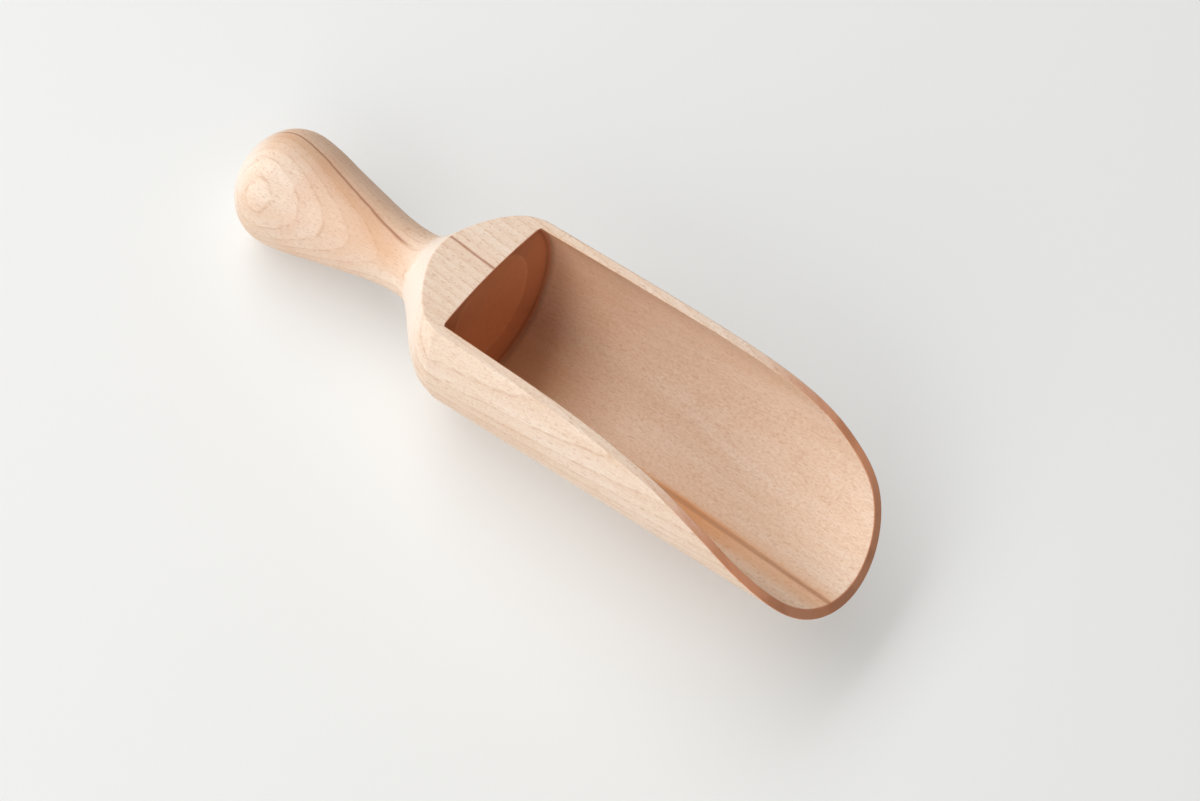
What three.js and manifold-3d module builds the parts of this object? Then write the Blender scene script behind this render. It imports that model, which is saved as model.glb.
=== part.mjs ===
// Feed scoop, turned from one block of beech.
//
// The block is turned on a lathe to a bulb handle, a neck, a cove and a round
// bowl. The bowl is bored out from the front, and a saw then takes the top off
// along a line that runs flat over the shoulder and sweeps down to the lip.
//
// Millimetres. The scoop is first built along X, with its turning axis on the
// X axis, the bore's end wall near x = 0 and the lip at +X. It is then laid down
// as it rests on a table: on its bulb and its shoulder, with the lip in the air.

import * as THREE from 'three';
import { mergeVertices } from 'three/addons/utils/BufferGeometryUtils.js';
import Module from 'manifold-3d';

// Driving dimensions
const bowlRadius = 37.5;
const wallThickness = 3.5;
const bowlLength = 160; // end wall of the bore to the tip of the lip
const handleLength = 111; // end wall of the bore to the end of the bulb
const bulbRadius = 22.6;
const neckRadius = 12.8;
const deckHeight = 19.7; // the sawn face above the axis, where it meets the bore
const deckFall = 0.04; // how fast the sawn face drops towards the lip

// The bore's end wall is dished: deeper in the middle than at its edge
const dishEdge = 0.6; // how far in front of x = 0 its edge lies
const dishDepth = 1.9;
const dishSteps = 8;

// How finely curves are divided
const turns = 72;
const handleSteps = 34;
const lipSteps = 44;

const boreRadius = bowlRadius - wallThickness;

// Turned outline from the end of the bulb to the shoulder, as distance along
// the axis and radius.
const handleOutline = [
  [-handleLength, 0],
  [-handleLength + 0.7, 8],
  [-handleLength + 4, 15.2],
  [-handleLength + 9.5, 20.3],
  [-handleLength + 17, bulbRadius],
  [-84, 21.6],
  [-73, 19.1],
  [-59, 16.1],
  [-47, 13.7],
  [-37, neckRadius],
  [-30.5, 13.5],
  [-26, 16.9],
  [-20.8, 22.4],
  [-13.6, 30.2],
  [-7, 35.2],
  [0, bowlRadius],
];

// Side view of the saw cut, from behind the shoulder to past the lip
const cutStart = -31;
const deckAt = (x) => deckHeight - deckFall * x;
const cutOutline = [
  [cutStart, deckAt(cutStart)],
  [0, deckHeight],
  [40, deckAt(40)],
  [61, 16.7],
  [80, 14.4],
  [99, 10.5],
  [117, 3.6],
  [132, -5.9],
  [147, -18.6],
  [bowlLength, -bowlRadius],
  [bowlLength + 6, -bowlRadius - 11],
];

function smoothLine(points, steps) {
  const curve = new THREE.SplineCurve(points.map(([x, y]) => new THREE.Vector2(x, y)));
  return curve.getSpacedPoints(steps);
}

// A solid of revolution about X. The outline holds Vector2(distance, radius)
// and its two ends lie on the axis.
function turned(outline) {
  const profile = outline.map((p) => new THREE.Vector2(Math.max(p.y, 0), p.x));
  profile[0].x = 0;
  profile[profile.length - 1].x = 0;
  const solid = new THREE.LatheGeometry(profile, turns);
  solid.rotateZ(-Math.PI / 2);
  return solid;
}

function turnedBlank() {
  const front = bowlLength + 4;
  return turned([
    ...smoothLine(handleOutline, handleSteps),
    new THREE.Vector2(front, bowlRadius),
    new THREE.Vector2(front, 0),
  ]);
}

function bore() {
  const front = bowlLength + 10;
  const dish = [];
  for (let i = 0; i <= dishSteps; i += 1) {
    const share = i / dishSteps;
    const x = dishEdge - dishDepth * (1 - share * share);
    dish.push(new THREE.Vector2(x, boreRadius * share));
  }
  return turned([
    ...dish,
    new THREE.Vector2(front, boreRadius),
    new THREE.Vector2(front, 0),
  ]);
}

// Everything above the saw cut, over the full width of the bowl
function sawnAway() {
  const top = bowlRadius + 10;
  const width = 2 * bowlRadius + 20;
  const straight = cutOutline.slice(0, 2).map(([x, z]) => new THREE.Vector2(x, z));
  const sweep = smoothLine(cutOutline.slice(1), lipSteps);
  const front = sweep[sweep.length - 1].x;
  const side = new THREE.Shape([
    straight[0],
    ...sweep,
    new THREE.Vector2(front, top),
    new THREE.Vector2(cutStart, top),
  ]);
  const solid = new THREE.ExtrudeGeometry(side, { depth: width, bevelEnabled: false });
  solid.translate(0, 0, -width / 2);
  solid.rotateX(Math.PI / 2);
  return solid;
}

const wasm = await Module();
wasm.setup();

function toManifold(geometry) {
  const bare = geometry.clone();
  bare.deleteAttribute('normal');
  bare.deleteAttribute('uv');
  const merged = mergeVertices(bare, 1e-4);
  return new wasm.Manifold(
    new wasm.Mesh({
      numProp: 3,
      vertProperties: new Float32Array(merged.attributes.position.array),
      triVerts: new Uint32Array(merged.index.array),
    })
  );
}

function toGeometry(manifold) {
  const mesh = manifold.getMesh();
  const geometry = new THREE.BufferGeometry();
  geometry.setAttribute('position', new THREE.BufferAttribute(mesh.vertProperties, 3));
  geometry.setIndex(new THREE.BufferAttribute(mesh.triVerts, 1));
  geometry.computeVertexNormals();
  return geometry;
}

// Lowest point over the part of the scoop from one place on the axis to
// another, once the lip has been raised by an angle.
function lowest(position, from, to, lift) {
  let low = Infinity;
  for (let i = 0; i < position.count; i += 1) {
    const x = position.getX(i);
    const z = position.getZ(i);
    if (x >= from && x <= to) {
      low = Math.min(low, x * Math.sin(lift) + z * Math.cos(lift));
    }
  }
  return low;
}

// The angle at which the bulb and the shoulder touch the same table
function restingLift(position) {
  let small = 0;
  let large = Math.PI / 6;
  for (let i = 0; i < 40; i += 1) {
    const lift = (small + large) / 2;
    const bulb = lowest(position, -handleLength, cutStart, lift);
    const bowl = lowest(position, cutStart, bowlLength, lift);
    if (bulb > bowl) {
      small = lift;
    } else {
      large = lift;
    }
  }
  return (small + large) / 2;
}

const carved = toManifold(turnedBlank())
  .subtract(toManifold(bore()))
  .subtract(toManifold(sawnAway()));

const scoopGeometry = toGeometry(carved);
scoopGeometry.rotateY(-restingLift(scoopGeometry.attributes.position));
scoopGeometry.computeBoundingBox();
const box = scoopGeometry.boundingBox;
const middle = (box.min.x + box.max.x) / 2;
scoopGeometry.translate(-middle, 0, -box.min.z);

const beech = new THREE.MeshStandardMaterial({
  name: 'beech',
  color: 0xe2c8ac,
  roughness: 0.62,
  metalness: 0,
});

const scoop = new THREE.Mesh(scoopGeometry, beech);
scoop.name = 'scoop';

const group = new THREE.Group();
group.name = 'feed_scoop';
group.add(scoop);

export default group;
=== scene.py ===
"""Feed scoop in turned beech, lying on a pale floor."""

import math

import bmesh
import bpy
import numpy as np
from mathutils import Matrix, Vector


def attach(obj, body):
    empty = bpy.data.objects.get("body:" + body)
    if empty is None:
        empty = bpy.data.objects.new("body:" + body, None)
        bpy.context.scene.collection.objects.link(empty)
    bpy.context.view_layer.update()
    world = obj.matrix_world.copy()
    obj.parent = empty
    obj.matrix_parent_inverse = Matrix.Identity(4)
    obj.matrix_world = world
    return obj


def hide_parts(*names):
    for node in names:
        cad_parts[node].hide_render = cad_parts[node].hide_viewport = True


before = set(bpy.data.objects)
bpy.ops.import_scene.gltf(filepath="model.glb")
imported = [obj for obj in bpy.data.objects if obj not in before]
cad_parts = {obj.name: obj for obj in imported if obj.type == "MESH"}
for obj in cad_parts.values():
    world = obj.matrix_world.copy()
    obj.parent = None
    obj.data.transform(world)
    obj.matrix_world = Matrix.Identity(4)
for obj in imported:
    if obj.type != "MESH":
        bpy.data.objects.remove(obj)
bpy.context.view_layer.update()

# ---------------------------------------------------------------- dimensions
# Millimetres, in the scoop's own frame: X is the turning axis, the bore's end
# wall is at x = 0 and the lip is at +X. They are the CAD model's.
BOWL_RADIUS = 37.5
WALL = 3.5
BORE_RADIUS = BOWL_RADIUS - WALL
BOWL_LENGTH = 160.0
HANDLE_LENGTH = 111.0
BULB_RADIUS = 22.6
NECK_RADIUS = 12.8
DECK_HEIGHT = 19.7
DECK_FALL = 0.04
DISH_EDGE = 0.6
DISH_DEPTH = 1.9
CUT_START = -31.0
NECK_AT = -37

# Sanding leaves the sawn edges this round, and the boring bit the far corner
EDGE_ROUND = 0.4
CORNER_ROUND = 1.2

# Turned outline of the handle and shoulder: distance along the axis, radius
HANDLE = [
    (-HANDLE_LENGTH, 0),
    (-HANDLE_LENGTH + 0.7, 8),
    (-HANDLE_LENGTH + 4, 15.2),
    (-HANDLE_LENGTH + 9.5, 20.3),
    (-HANDLE_LENGTH + 17, BULB_RADIUS),
    (-84, 21.6),
    (-73, 19.1),
    (-59, 16.1),
    (-47, 13.7),
    (NECK_AT, NECK_RADIUS),
    (-30.5, 13.5),
    (-26, 16.9),
    (-20.8, 22.4),
    (-13.6, 30.2),
    (-7, 35.2),
    (0, BOWL_RADIUS),
]

# Side view of the saw cut in front of the end wall: distance, height
SWEEP = [
    (0, DECK_HEIGHT),
    (40, DECK_HEIGHT - 40 * DECK_FALL),
    (61, 16.7),
    (80, 14.4),
    (99, 10.5),
    (117, 3.6),
    (132, -5.9),
    (147, -18.6),
    (BOWL_LENGTH, -BOWL_RADIUS),
    (BOWL_LENGTH + 6, -BOWL_RADIUS - 11),
]

# Spacing of the lookup tables, how far they reach past the scoop, and the
# steps between two points of an outline
FINE = 0.25
PAST_BULB = 9
PAST_LIP = 15
PAST_BOWL = 14
CURVE_STEPS = 14

# Points closer than this are one point
SEWN = 0.01

# How the scoop lies: its axis is raised towards the lip until the bulb and the
# shoulder touch the floor
LIFT = 0.15763658
REST = (-26.8477, 0.0, 37.035)
MM = 0.001


# --------------------------------------------------------------------- shape
def smooth_line(points, each, before=None):
    """Catmull-Rom line through the points, with so many steps between two."""
    pts = np.array(points, float)
    first = pts[0] if before is None else np.array(before, float)
    pts = np.vstack([first, pts, pts[-1]])
    t = np.linspace(0, 1, each, endpoint=False)[:, None]
    parts = []
    for p0, p1, p2, p3 in zip(pts, pts[1:], pts[2:], pts[3:]):
        v0, v1 = (p2 - p0) / 2, (p3 - p1) / 2
        a = 2 * p1 - 2 * p2 + v0 + v1
        b = 3 * p2 - 3 * p1 - 2 * v0 - v1
        parts.append(a * t**3 + b * t**2 + v0 * t + p1)
    parts.append(pts[-2][None])
    return np.vstack(parts)


def rounded_max(a, b, radius):
    """The solid where both distances are negative, with its edge rounded."""
    outside = np.hypot(np.maximum(a + radius, 0), np.maximum(b + radius, 0))
    return np.minimum(np.maximum(a, b), -radius) + outside


def dished(radius):
    """Where the bore's end wall lies along the axis, at a distance from it."""
    share = np.minimum(radius / BORE_RADIUS, 1)
    return DISH_EDGE - DISH_DEPTH * (1 - share**2)


class ScoopShape:
    """Signed distance to the scoop's skin in millimetres, negative in wood."""

    def __init__(self):
        start, radius = HANDLE[1]
        line = smooth_line(HANDLE, CURVE_STEPS, before=(start, -radius))
        line = np.vstack([line, [[BOWL_LENGTH + 2 * PAST_LIP, BOWL_RADIUS]]])
        self.xs = np.arange(-HANDLE_LENGTH - PAST_BULB, BOWL_LENGTH + PAST_LIP, FINE)
        self.rs = np.arange(0, BOWL_RADIUS + PAST_BOWL, FINE)
        self.outline = line
        self.table = self.turned_distance(line)
        cut = smooth_line(SWEEP, CURVE_STEPS)
        self.cut_x = np.arange(CUT_START - 5, SWEEP[-1][0], FINE)
        flat = DECK_HEIGHT - DECK_FALL * self.cut_x
        swept = np.interp(self.cut_x, cut[:, 0], cut[:, 1])
        self.cut_z = np.where(self.cut_x < 0, flat, swept)
        self.cut_slope = np.gradient(self.cut_z, self.cut_x)

    def turned_distance(self, line):
        x, r = np.meshgrid(self.xs, self.rs, indexing="ij")
        near = np.full(x.shape, 1e9)
        mirrored = line[1] * (1, -1)
        for (ax, ar), (bx, br) in zip(np.vstack([mirrored, line]), line):
            dx, dr = bx - ax, br - ar
            t = np.clip(((x - ax) * dx + (r - ar) * dr) / (dx * dx + dr * dr), 0, 1)
            near = np.minimum(near, np.hypot(x - ax - t * dx, r - ar - t * dr))
        radius = np.interp(x, line[:, 0], line[:, 1], left=-1)
        return np.where(r < radius, -near, near)

    def turned(self, x, r):
        u = np.clip((x - self.xs[0]) / FINE, 0, len(self.xs) - 1.001)
        v = np.clip(r / FINE, 0, len(self.rs) - 1.001)
        i, j = u.astype(int), v.astype(int)
        u, v = u - i, v - j
        low = self.table[i, j] * (1 - v) + self.table[i, j + 1] * v
        high = self.table[i + 1, j] * (1 - v) + self.table[i + 1, j + 1] * v
        return low * (1 - u) + high * u

    def above_cut(self, x, z):
        slope = np.interp(x, self.cut_x, self.cut_slope)
        height = (z - np.interp(x, self.cut_x, self.cut_z)) / np.sqrt(1 + slope**2)
        return np.where(x < CUT_START, -BOWL_RADIUS, height)

    def distance(self, p):
        x, y, z = p[..., 0], p[..., 1], p[..., 2]
        r = np.hypot(y, z)
        hollow = rounded_max(r - BORE_RADIUS, dished(r) - x, CORNER_ROUND)
        wood = rounded_max(self.turned(x, r), self.above_cut(x, z), EDGE_ROUND)
        return rounded_max(wood, -hollow, EDGE_ROUND)

    def gradient(self, p, step=0.05):
        grad = np.zeros_like(p)
        for axis in range(3):
            side = np.zeros(3)
            side[axis] = step
            grad[:, axis] = self.distance(p + side) - self.distance(p - side)
        return grad / (2 * step)

    def on_skin(self, p):
        for _ in range(3):
            g = self.gradient(p)
            size = np.maximum((g * g).sum(1), 0.25)
            p = p - g * (self.distance(p) / size)[:, None]
        return p


def spread(count, length, at_start=True, at_end=True):
    """Shares from 0 to 1, evenly spaced, with two more close to each eased edge."""
    near = [EDGE_ROUND / length, 2 * EDGE_ROUND / length]
    start = [0.0] + (near if at_start else [])
    end = ([1 - near[1], 1 - near[0]] if at_end else []) + [1.0]
    middle = np.linspace(start[-1], end[0], count + 1)[1:-1]
    return np.concatenate([start, middle, end])


def on_circle(x, radius, angle):
    """Points at an angle from straight down, which grows towards +Y."""
    x, radius, angle = np.broadcast_arrays(x, radius, angle)
    return np.stack([x, radius * np.sin(angle), -radius * np.cos(angle)], -1)


class Skin:
    """Four-sided faces over the whole scoop, in patches that follow its edges."""

    AROUND = 150
    AROUND_LIP = 80
    ACROSS_RIM = 4
    ALONG_HANDLE = 92
    OVER_SHOULDER = 52
    ALONG_DECK = 26
    DECK_LENGTH = 22
    DOWN_END_WALL = 70
    # Rows go by distance as far as this, and by angle round the lip
    LIP_START = 118.0

    def __init__(self, shape):
        self.shape = shape
        turned = shape.outline[shape.outline[:, 0] <= 0]
        self.outline = np.vstack([turned, [[DISH_EDGE, BOWL_RADIUS]]])
        steps = np.hypot(*np.diff(self.outline, axis=0).T)
        self.run = np.concatenate([[0], np.cumsum(steps)])
        half = 1 - spread(self.AROUND // 2, BOWL_RADIUS * 2, at_end=False)
        self.shares = np.concatenate([half, -half[-2::-1]])
        self.rim_shares = spread(self.ACROSS_RIM, WALL)
        self.stations()
        self.patches = [
            self.handle(), self.deck(), self.bowl_outside(), self.bowl_inside(),
            self.rim(1), self.rim(-1), self.end_wall(),
        ]

    def cut_at(self, x):
        return np.interp(x, self.shape.cut_x, self.shape.cut_z)

    def cut_where(self, z):
        """Distance along the axis at which the sweep reaches a height."""
        front = self.shape.cut_x >= 0
        return np.interp(-z, -self.shape.cut_z[front], self.shape.cut_x[front])

    def stations(self):
        """Rows of points along the bowl, on its outer and its inner rim."""
        near = DISH_EDGE + np.array([0, 0.4, 0.8, 1.2, 1.8])
        along = np.concatenate([near, np.arange(3.2, self.LIP_START, 1.0)])
        angle = np.arccos(-self.cut_at(self.LIP_START) / BOWL_RADIUS)
        lip = np.linspace(angle, 0, self.AROUND_LIP)
        outer_z = np.concatenate([self.cut_at(along), -BOWL_RADIUS * np.cos(lip)])
        self.outer_x = np.concatenate([along, self.cut_where(outer_z[len(along):])])
        inner_z = np.where(outer_z > 0, outer_z, outer_z * BORE_RADIUS / BOWL_RADIUS)
        self.inner_x = np.where(outer_z > 0, self.outer_x, self.cut_where(inner_z))
        self.outer_angle = np.arccos(np.clip(-outer_z / BOWL_RADIUS, -1, 1))
        self.inner_angle = np.arccos(np.clip(-inner_z / BORE_RADIUS, -1, 1))

    def top_angles(self):
        """Angles over the top of the shoulder, one for each point on the chord."""
        corner = self.outer_angle[0]
        return np.linspace(corner, 2 * math.pi - corner, len(self.chord()))

    def chord(self):
        """Points across the sawn face where it meets the bore, as Y."""
        outer = BOWL_RADIUS * math.sin(self.outer_angle[0])
        inner = BORE_RADIUS * math.sin(self.inner_angle[0])
        strip = outer + (inner - outer) * self.rim_shares
        return np.concatenate([strip[:-1], inner * self.shares, -strip[-2::-1]])

    def chord_points(self, y):
        x = dished(np.hypot(y, DECK_HEIGHT))
        return np.stack([x, y, DECK_HEIGHT - DECK_FALL * x], -1)

    def edge_run(self, angles):
        """How far along the outline the sawn face cuts into the shoulder."""
        x, r = self.outline.T
        found = []
        for angle in angles:
            over = np.where(x < CUT_START, -1, -r * math.cos(angle) - self.cut_at(x))
            k = int(np.argmax(over > -1e-9))
            share = 0 if over[k] <= over[k - 1] else -over[k - 1] / (over[k] - over[k - 1])
            found.append(self.run[k - 1] + min(share, 1) * (self.run[k] - self.run[k - 1]))
        return np.array(found)

    def handle(self):
        """From the end of the bulb to the sawn face and to the bowl."""
        under = self.shares * self.outer_angle[0]
        over = self.top_angles()
        full = self.run[-1]
        reach = np.concatenate([np.full(len(under), full), self.edge_run(over)[1:]])
        reach[-1] = full
        angles = np.concatenate([under[::-1], over[1:]])
        neck = np.interp(NECK_AT, self.outline[:, 0], self.run)
        plain = np.linspace(0, neck, self.ALONG_HANDLE)[:-1]
        share = spread(self.OVER_SHOULDER, full - neck, at_start=False)
        run = np.vstack([np.repeat(plain[:, None], len(reach), 1),
                         neck + share[:, None] * (reach - neck)])
        x = np.interp(run, self.run, self.outline[:, 0])
        r = np.interp(run, self.run, self.outline[:, 1])
        return on_circle(x, r, angles[None])

    def deck(self):
        """The flat sawn face, from its curved edge to the chord."""
        angles = self.top_angles()
        run = self.edge_run(angles)
        run[0] = run[-1] = self.run[-1]
        x = np.interp(run, self.run, self.outline[:, 0])
        r = np.interp(run, self.run, self.outline[:, 1])
        edge = on_circle(x, r, angles)
        chord = self.chord_points(self.chord())
        share = spread(self.ALONG_DECK, self.DECK_LENGTH)[:, None, None]
        flat = edge * (1 - share) + chord * share
        flat[..., 2] = DECK_HEIGHT - DECK_FALL * flat[..., 0]
        return flat

    def bowl_outside(self):
        angle = self.outer_angle[:, None] * self.shares
        return on_circle(self.outer_x[:, None], BOWL_RADIUS, angle)

    def bowl_inside(self):
        angle = self.inner_angle[:, None] * self.shares
        return on_circle(self.inner_x[:, None], BORE_RADIUS, angle)

    def rim(self, side):
        outer = on_circle(self.outer_x, BOWL_RADIUS, side * self.outer_angle)
        inner = on_circle(self.inner_x, BORE_RADIUS, side * self.inner_angle)
        share = self.rim_shares[None, :, None]
        face = outer[:, None] * (1 - share) + inner[:, None] * share
        face[..., 2] = self.cut_at(face[..., 0])
        return face

    def end_wall(self):
        inner = BORE_RADIUS * math.sin(self.inner_angle[0])
        chord = self.chord_points(inner * self.shares)
        arc = on_circle(DISH_EDGE, BORE_RADIUS, self.inner_angle[0] * self.shares)
        share = spread(self.DOWN_END_WALL, DECK_HEIGHT + BORE_RADIUS)[:, None, None]
        wall = chord * (1 - share) + arc * share
        wall[..., 0] = dished(np.hypot(wall[..., 1], wall[..., 2]))
        return wall

    def mesh(self):
        points, faces, start = [], [], 0
        for patch in self.patches:
            rows, columns = patch.shape[:2]
            number = start + np.arange(rows * columns).reshape(rows, columns)
            quad = np.stack([number[:-1, :-1], number[1:, :-1],
                             number[1:, 1:], number[:-1, 1:]], -1)
            points.append(patch.reshape(-1, 3))
            faces.append(quad.reshape(-1, 4))
            start += rows * columns
        mesh = bpy.data.meshes.new("scoop_skin")
        mesh.from_pydata(np.vstack(points), [], np.vstack(faces))
        sewn = bmesh.new()
        sewn.from_mesh(mesh)
        bmesh.ops.remove_doubles(sewn, verts=sewn.verts, dist=SEWN)
        bmesh.ops.dissolve_degenerate(sewn, dist=SEWN, edges=sewn.edges)
        bmesh.ops.recalc_face_normals(sewn, faces=sewn.faces)
        sewn.to_mesh(mesh)
        sewn.free()
        return mesh


def laid_down(points):
    """The points in the row frame, in metres, as the scoop lies on its floor."""
    turned = points @ np.array(Matrix.Rotation(-LIFT, 3, "Y")).T
    return (turned + np.array(REST)) * MM


def scoop_mesh(shape):
    mesh = Skin(shape).mesh()
    points = np.empty(len(mesh.vertices) * 3)
    mesh.vertices.foreach_get("co", points)
    points = shape.on_skin(points.reshape(-1, 3))
    normals = shape.gradient(points)
    normals /= np.linalg.norm(normals, axis=1)[:, None]
    normals = normals @ np.array(Matrix.Rotation(-LIFT, 3, "Y")).T
    mesh.vertices.foreach_set("co", laid_down(points).ravel())
    mesh.polygons.foreach_set("use_smooth", [True] * len(mesh.polygons))
    mesh.normals_split_custom_set_from_vertices(normals)
    return mesh


# ------------------------------------------------------------------ material
def linear(red, green, blue):
    """Linear colour from 0-255 display values."""
    def one(v):
        v /= 255
        return v / 12.92 if v <= 0.04045 else ((v + 0.055) / 1.055) ** 2.4
    return (one(red), one(green), one(blue), 1)


class Nodes:
    """Short calls that add nodes to a material and join them."""

    def __init__(self, material):
        material.use_nodes = True
        self.tree = material.node_tree
        self.tree.nodes.clear()

    def put(self, socket, value):
        if isinstance(value, bpy.types.NodeSocket):
            self.tree.links.new(value, socket)
        else:
            socket.default_value = value

    def add(self, kind, **inputs):
        node = self.tree.nodes.new(kind)
        for name, value in inputs.items():
            self.put(node.inputs[name.replace("_", " ")], value)
        return node

    def math(self, operation, a, b=0.0):
        node = self.tree.nodes.new("ShaderNodeMath")
        node.operation = operation
        self.put(node.inputs[0], a)
        self.put(node.inputs[1], b)
        return node.outputs[0]

    def times(self, a, b):
        return self.math("MULTIPLY", a, b)

    def plus(self, a, b):
        return self.math("ADD", a, b)

    def minus(self, a, b):
        return self.math("SUBTRACT", a, b)

    def split(self, vector):
        return self.add("ShaderNodeSeparateXYZ", Vector=vector).outputs

    def vector(self, x, y, z):
        return self.add("ShaderNodeCombineXYZ", X=x, Y=y, Z=z).outputs[0]

    def stood_up(self, vector, scale, rest):
        """From the row frame back to the scoop's own frame."""
        scaled = self.tree.nodes.new("ShaderNodeVectorMath")
        scaled.operation = "SCALE"
        self.put(scaled.inputs[0], vector)
        scaled.inputs["Scale"].default_value = scale
        moved = self.tree.nodes.new("ShaderNodeVectorMath")
        moved.operation = "SUBTRACT"
        self.put(moved.inputs[0], scaled.outputs[0])
        self.put(moved.inputs[1], rest)
        turn = self.add("ShaderNodeVectorRotate", Vector=moved.outputs[0], Angle=LIFT)
        turn.rotation_type = "Y_AXIS"
        return turn.outputs[0]

    def step(self, value, low, high, out_low=0.0, out_high=1.0):
        """Smooth step from low to high."""
        node = self.tree.nodes.new("ShaderNodeMapRange")
        node.interpolation_type = "SMOOTHSTEP"
        for socket, v in zip(node.inputs, (value, low, high, out_low, out_high)):
            self.put(socket, v)
        return node.outputs[0]

    def fall(self, value, low, high):
        """Smooth step down: 1 below low, 0 above high."""
        return self.step(value, low, high, 1.0, 0.0)

    def band(self, value, centre, width):
        """1 at the centre, falling to 0 at the width on each side."""
        off = self.math("ABSOLUTE", self.minus(value, centre))
        return self.fall(off, 0.0, width)

    def noise(self, vector, detail=2.0, roughness=0.5):
        node = self.add("ShaderNodeTexNoise", Vector=vector, Scale=1.0, Detail=detail,
                        Roughness=roughness)
        return node.outputs[0]

    def specks(self, vector):
        node = self.add("ShaderNodeTexVoronoi", Vector=vector, Scale=1.0)
        return node.outputs["Distance"], node.outputs["Color"]

    def mix(self, share, a, b):
        node = self.tree.nodes.new("ShaderNodeMix")
        node.data_type = "RGBA"
        self.put(node.inputs[0], share)
        self.put(node.inputs[6], a)
        self.put(node.inputs[7], b)
        return node.outputs[2]


# How the block was cut from the tree, in the scoop's frame: growth rings face
# this far from straight up, towards -Y, and drift outward along the scoop
RING_TURN = math.radians(52)
RING_GAP = 2.6
RING_RADIUS = 130.0
FIRST_RING = 24.9
DRIFT = 0.04
DRIFT_CURVE = 0.00012

# Two dark rings: one along the top of the handle, one low in the bowl
TOP_STREAK = 11.2
FLOOR_STREAK = -17.3

# Radius of the ring that the boring tool left on the end wall
TOOL_RING = 21.8


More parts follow.
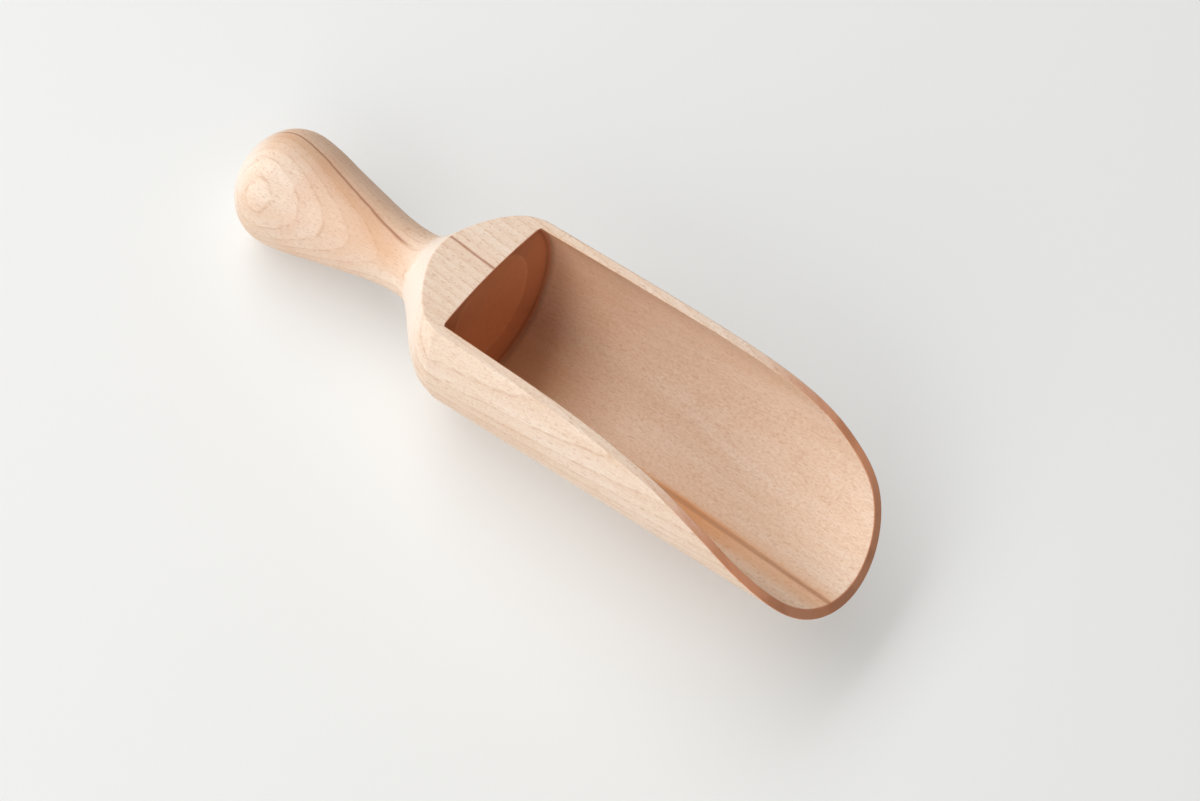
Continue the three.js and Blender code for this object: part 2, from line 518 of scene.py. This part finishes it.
class Beech:
    """One solid block of beech, painted layer by layer in the scoop's frame."""

    def __init__(self, material):
        n = self.n = Nodes(material)
        self.coordinates = n.add("ShaderNodeTexCoord").outputs
        self.x, self.y, self.z = n.split(
            n.stood_up(self.coordinates["Object"], 1 / MM, REST))
        self.from_axis = n.math("SQRT", n.plus(n.times(self.y, self.y),
                                               n.times(self.z, self.z)))
        self.bored = self.inside_bore()
        self.sanded = n.plus(n.times(self.bored, -0.7), 1.0)
        self.tree_axes()
        self.late, self.line = self.growth_rings()
        self.ray, self.flake = self.rays()
        self.fibre = self.noise((14, 0.45, 0.45), 3, 0.6)
        self.grit = self.noise((1.6, 0.45, 0.45), 3, 0.65)
        self.patch = self.noise((26, 13, 13), 2)
        self.colour = self.broad_tone()
        self.plain_wood()
        self.handle_streak()
        self.heart_streak()
        self.bore_tone_and_shade()
        self.end_grain_and_lit_faces()
        self.tool_marks_and_shade()

    def stretched(self, sizes):
        """Tree axes in units of these sizes: along, across and out."""
        axes = zip((self.x, self.across, self.out), sizes)
        return self.n.vector(*[self.n.times(axis, 1 / size) for axis, size in axes])

    def noise(self, sizes, detail, roughness=0.5):
        return self.n.noise(self.stretched(sizes), detail, roughness)

    def paint(self, share, red, green, blue):
        self.colour = self.n.mix(share, self.colour, linear(red, green, blue))

    def inside_bore(self):
        """1 on the walls of the bore and on its end wall, 0 elsewhere."""
        n = self.n
        under_deck = n.times(n.step(self.x, -2.6, -1.9), n.fall(self.z, 19.0, 19.4))
        inside = n.math("MAXIMUM", n.step(self.x, 0.9, 1.1), under_deck)
        wall = n.fall(self.from_axis, BORE_RADIUS + 0.2, BORE_RADIUS + 0.6)
        return n.times(wall, inside)

    def tree_axes(self):
        """Distance along the rings, and outward from the heart of the tree."""
        n, x, y, z = self.n, self.x, self.y, self.z
        cosine, sine = math.cos(RING_TURN), math.sin(RING_TURN)
        self.across = n.plus(n.times(y, cosine), n.times(z, sine))
        flat = n.minus(n.times(z, cosine), n.times(y, sine))
        drift = n.times(x, n.plus(n.times(x, DRIFT_CURVE), DRIFT))
        bend = n.times(n.times(self.across, self.across), 0.5 / RING_RADIUS)
        self.out = n.plus(n.minus(flat, drift), bend)
        sway = n.minus(self.noise((60, 22, 30), 2), 0.5)
        self.out = n.plus(self.out, sway)
        wobble = n.minus(self.noise((9, 4, 6), 2), 0.5)
        self.ring_at = n.plus(self.out, n.times(wobble, 0.7))

    def growth_rings(self):
        """Each ring darkens slowly and ends in a fine broken line."""
        n = self.n
        uneven = n.noise(n.vector(0.0, 0.0, n.times(self.ring_at, 1 / 11)), 1)
        turn = n.plus(n.times(n.minus(self.ring_at, FIRST_RING), 1 / RING_GAP),
                      n.times(n.minus(uneven, 0.5), 0.6))
        phase = n.math("FRACT", turn)
        late = n.times(n.step(phase, 0.2, 0.95), n.fall(phase, 0.96, 1.0))
        torn = self.noise((5, 3, 3), 2)
        return late, n.times(n.band(phase, 0.9, 0.09), n.step(torn, 0.42, 0.6))

    def rays(self):
        """Fine dashes where the skin follows a ring, broad flakes across it."""
        n = self.n
        far, kind = n.specks(self.stretched((1.9, 0.5, 4)))
        ray = n.times(n.fall(far, 0.16, 0.42), n.step(n.split(kind)[0], 0.35, 0.8))
        far, kind = n.specks(self.stretched((5, 1.3, 8)))
        flake = n.times(n.fall(far, 0.12, 0.33), n.step(n.split(kind)[0], 0.6, 0.85))
        return ray, flake

    def broad_tone(self):
        tone = self.n.step(self.noise((70, 9, 9), 3), 0.3, 0.7)
        return self.n.mix(tone, linear(238, 219, 201), linear(232, 206, 183))

    def plain_wood(self):
        """Patches, fibres, pores, rings and rays of the sound wood."""
        n = self.n
        self.paint(n.times(n.step(self.patch, 0.45, 0.75), 0.35), 230, 199, 176)
        self.paint(n.times(n.step(self.fibre, 0.35, 0.75), 0.22), 208, 168, 134)
        rough = n.plus(0.3, n.times(self.bored, 0.25))
        self.paint(n.times(n.step(self.grit, 0.42, 0.72), rough), 206, 162, 128)
        self.paint(n.times(n.step(self.grit, 0.55, 0.25), 0.3), 240, 224, 208)
        self.paint(n.times(n.times(self.late, self.sanded), 0.19), 208, 168, 134)
        self.paint(n.times(n.times(self.line, self.sanded), 0.34), 188, 138, 100)
        self.paint(n.times(self.ray, 0.36), 186, 132, 98)
        self.paint(n.times(self.flake, 0.3), 186, 132, 98)

    def handle_streak(self):
        """The dark ring along the top of the handle, which runs on into the deck."""
        n, x, out = self.n, self.x, self.out
        handle = n.times(n.step(self.across, -6.0, 4.0), n.fall(x, -42.0, -26.0))
        zone = n.times(n.fall(out, TOP_STREAK + 3.0, TOP_STREAK + 12.0),
                       n.step(out, TOP_STREAK - 7.0, TOP_STREAK, 0.8, 1.0))
        core = n.band(out, TOP_STREAK + 2.0, 4.0)
        on_deck = n.times(n.step(x, -25.0, -22.0), n.fall(x, 1.0, 3.0))
        shown = n.plus(n.fall(x, -40.0, -33.0), on_deck)
        line = n.times(n.band(self.ring_at, TOP_STREAK, 0.6),
                       n.times(n.step(self.across, 2.0, 9.0), shown))
        self.paint(n.times(n.times(zone, handle), 0.36), 214, 160, 116)
        self.paint(n.times(n.times(core, handle), 0.3), 208, 146, 92)
        self.paint(n.times(line, 0.75), 152, 84, 52)

    def heart_streak(self):
        """The orange-brown heart streak low in the bowl, near the lip."""
        n, at = self.n, self.ring_at
        front = n.times(n.fall(self.across, -22.0, -14.0), n.step(self.x, 45.0, 95.0))
        far_side = n.step(at, FLOOR_STREAK - 2.6, FLOOR_STREAK - 0.4)
        near_side = n.fall(at, FLOOR_STREAK + 5.0, FLOOR_STREAK + 12.0)
        fade = n.step(self.x, 92.0, 134.0, 1.0, 0.4)
        heart = n.times(n.times(front, fade), n.times(far_side, near_side))
        soft_side = n.step(at, FLOOR_STREAK - 7.0, FLOOR_STREAK - 1.0)
        edge = n.times(front, n.times(soft_side, near_side))
        stripes = n.noise(n.vector(n.times(self.x, 1 / 60), 0.0, n.times(at, 1 / 0.9)), 2)
        line = n.times(front, n.band(at, FLOOR_STREAK + 0.7, 1.8))
        self.paint(n.times(edge, 0.22), 216, 156, 102)
        self.paint(n.times(heart, n.plus(0.5, n.times(stripes, 0.5))), 216, 148, 92)
        self.paint(n.times(line, n.plus(0.25, n.times(stripes, 0.6))), 140, 84, 52)

    def bore_tone_and_shade(self):
        """The bore is browner than the sanded outside, and painted darker still towards its
        back as painted shade under the deck.
        """
        n = self.n
        # Painted shade: deeper brown towards the back of the bore, where the deck shades it
        back_shade = n.times(n.fall(self.x, 5.0, 62.0), n.step(self.y, 4.0, 28.0, 0.65, 0.3))
        self.paint(n.times(self.bored, n.plus(0.15, back_shade)), 212, 152, 96)

    def end_grain_and_lit_faces(self):
        """Sawn end grain is brown towards the lip; faces turned towards the handle are painted
        pale, a painted highlight where the light falls on them.
        """
        n = self.n
        facing = n.split(n.stood_up(self.coordinates["Normal"], 1, (0, 0, 0)))[0]
        sawn = n.step(facing, 0.12, 0.6)
        self.paint(n.times(sawn, 0.85), 230, 150, 106)
        mottle = n.times(n.step(self.patch, 0.42, 0.6), n.step(self.x, 10.0, 30.0, 0.0, 0.3))
        self.paint(n.times(sawn, mottle), 170, 104, 70)
        # Painted highlight: faces turned towards the handle and the light are lightened
        self.paint(n.times(n.step(facing, -0.3, -0.8), 0.6), 240, 232, 222)

    def tool_marks_and_shade(self):
        """The boring tool's ring on the end wall, with painted shade on the end wall outside
        it and a painted dark corner round it.
        """
        n, r = self.n, self.from_axis
        end_wall = n.times(self.bored, n.fall(self.x, DISH_EDGE - 0.05, DISH_EDGE + 0.15))
        # Painted shade: the end wall darker outside the tool ring, towards the corner
        outside = n.step(r, TOOL_RING, TOOL_RING + 0.5, 0.0, 0.2)
        self.paint(n.times(end_wall, outside), 150, 88, 56)
        at = n.vector(n.times(self.x, 1 / 2), n.times(self.y, 1 / 6), n.times(self.z, 1 / 6))
        worn = n.noise(at, 2)
        scored = n.times(n.band(r, TOOL_RING - 0.4, 0.6), n.step(worn, 0.35, 0.6))
        self.paint(n.times(n.times(end_wall, scored), 0.28), 240, 196, 160)
        self.paint(n.times(n.times(end_wall, self.line), 0.35), 140, 84, 56)
        # Painted shade: the corner between the bore and its end wall is darkened
        corner = n.times(n.fall(self.x, 1.0, 4.0), n.step(r, 31.0, 33.5))
        self.paint(n.times(n.times(self.bored, corner), 0.4), 122, 66, 40)


def beech_material():
    material = bpy.data.materials.new("beech")
    wood = Beech(material)
    n = wood.n
    roughness = n.plus(0.56, n.times(wood.fibre, 0.16))
    relief = n.plus(n.times(wood.fibre, 0.4), n.times(wood.grit, 0.6))
    cuts = n.plus(n.times(wood.ray, -0.25), n.times(wood.late, 0.15))
    bump = n.add("ShaderNodeBump", Strength=0.35, Distance=0.00012,
                 Height=n.plus(relief, cuts))
    shader = n.add("ShaderNodeBsdfPrincipled", Base_Color=wood.colour,
                   Roughness=roughness, Normal=bump.outputs[0])
    shader.inputs["Specular IOR Level"].default_value = 0.35
    n.add("ShaderNodeOutputMaterial", Surface=shader.outputs[0])
    return material


# --------------------------------------------------------------------- scoop
shape = ScoopShape()
scoop = bpy.data.objects.new("beech_scoop", scoop_mesh(shape))
bpy.context.scene.collection.objects.link(scoop)
scoop.data.materials.append(beech_material())

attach(scoop, "root")
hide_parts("scoop")

# --------------------------------------------------------------------- stage
FLOOR_HALF = 6.0
FLOOR_GLOW = 0.27
SKY_STRENGTH = 0.07


def floor_object():
    mesh = bpy.data.meshes.new("floor")
    h = FLOOR_HALF
    mesh.from_pydata([(-h, -h, 0), (h, -h, 0), (h, h, 0), (-h, h, 0)], [], [(0, 1, 2, 3)])
    # A faint glow of its own lightens the shadows on the floor
    material = bpy.data.materials.new("floor")
    n = Nodes(material)
    shader = n.add("ShaderNodeBsdfPrincipled", Base_Color=linear(200, 200, 198), Roughness=0.5)
    shader.inputs["Emission Color"].default_value = (1, 1, 0.985, 1)
    shader.inputs["Emission Strength"].default_value = FLOOR_GLOW
    n.add("ShaderNodeOutputMaterial", Surface=shader.outputs[0])
    mesh.materials.append(material)
    return bpy.data.objects.new("floor", mesh)


floor = floor_object()
bpy.context.scene.collection.objects.link(floor)

# Plain contrast, with no filmic curve over the colours
bpy.context.scene.view_settings.view_transform = "Standard"

world = bpy.data.worlds.new("studio")
bpy.context.scene.world = world
world.use_nodes = True
background = world.node_tree.nodes["Background"]
background.inputs["Color"].default_value = (0.96, 0.98, 1.0, 1)
background.inputs["Strength"].default_value = SKY_STRENGTH


def soft_light(name, turn, height, distance, size, power):
    """A softbox that faces the scoop, at an angle round from -X towards -Y."""
    turn, height = math.radians(turn), math.radians(height)
    toward = Vector((-math.cos(turn) * math.cos(height),
                     -math.sin(turn) * math.cos(height),
                     math.sin(height)))
    data = bpy.data.lights.new(name, "AREA")
    data.shape = "RECTANGLE"
    data.size, data.size_y = size
    data.energy = power
    light = bpy.data.objects.new(name, data)
    light.location = toward * distance
    light.rotation_euler = (-toward).to_track_quat("-Z", "Y").to_euler()
    bpy.context.scene.collection.objects.link(light)


soft_light("window", 9, 48, 4.2, (7.0, 2.2), 186)
soft_light("ceiling", 0, 74, 3.6, (4.0, 3.0), 26)
soft_light("wall", 88, 26, 3.6, (3.0, 2.0), 66)

# -------------------------------------------------------------------- camera
AZIMUTH = math.radians(22.9)
ELEVATION = math.radians(57.49)
ROLL = math.radians(16.56)
LOOK_AT = Vector((0.0273, -0.0088, 0.0457))
CAMERA_DISTANCE = 1.1204


def place_camera():
    data = bpy.data.cameras.new("camera")
    data.sensor_width = 36
    data.sensor_fit = "HORIZONTAL"
    data.lens = 96
    data.clip_end = 50
    back = Vector((math.sin(AZIMUTH) * math.cos(ELEVATION),
                   -math.cos(AZIMUTH) * math.cos(ELEVATION),
                   math.sin(ELEVATION)))
    level = Vector((math.cos(AZIMUTH), math.sin(AZIMUTH), 0))
    right = level * math.cos(ROLL) + back.cross(level) * math.sin(ROLL)
    up = back.cross(right)
    camera = bpy.data.objects.new("camera", data)
    turn = Matrix((right, up, back)).transposed().to_4x4()
    camera.matrix_world = Matrix.Translation(LOOK_AT + back * CAMERA_DISTANCE) @ turn
    bpy.context.scene.collection.objects.link(camera)
    return camera


bpy.context.scene.camera = place_camera()
bpy.context.view_layer.update()
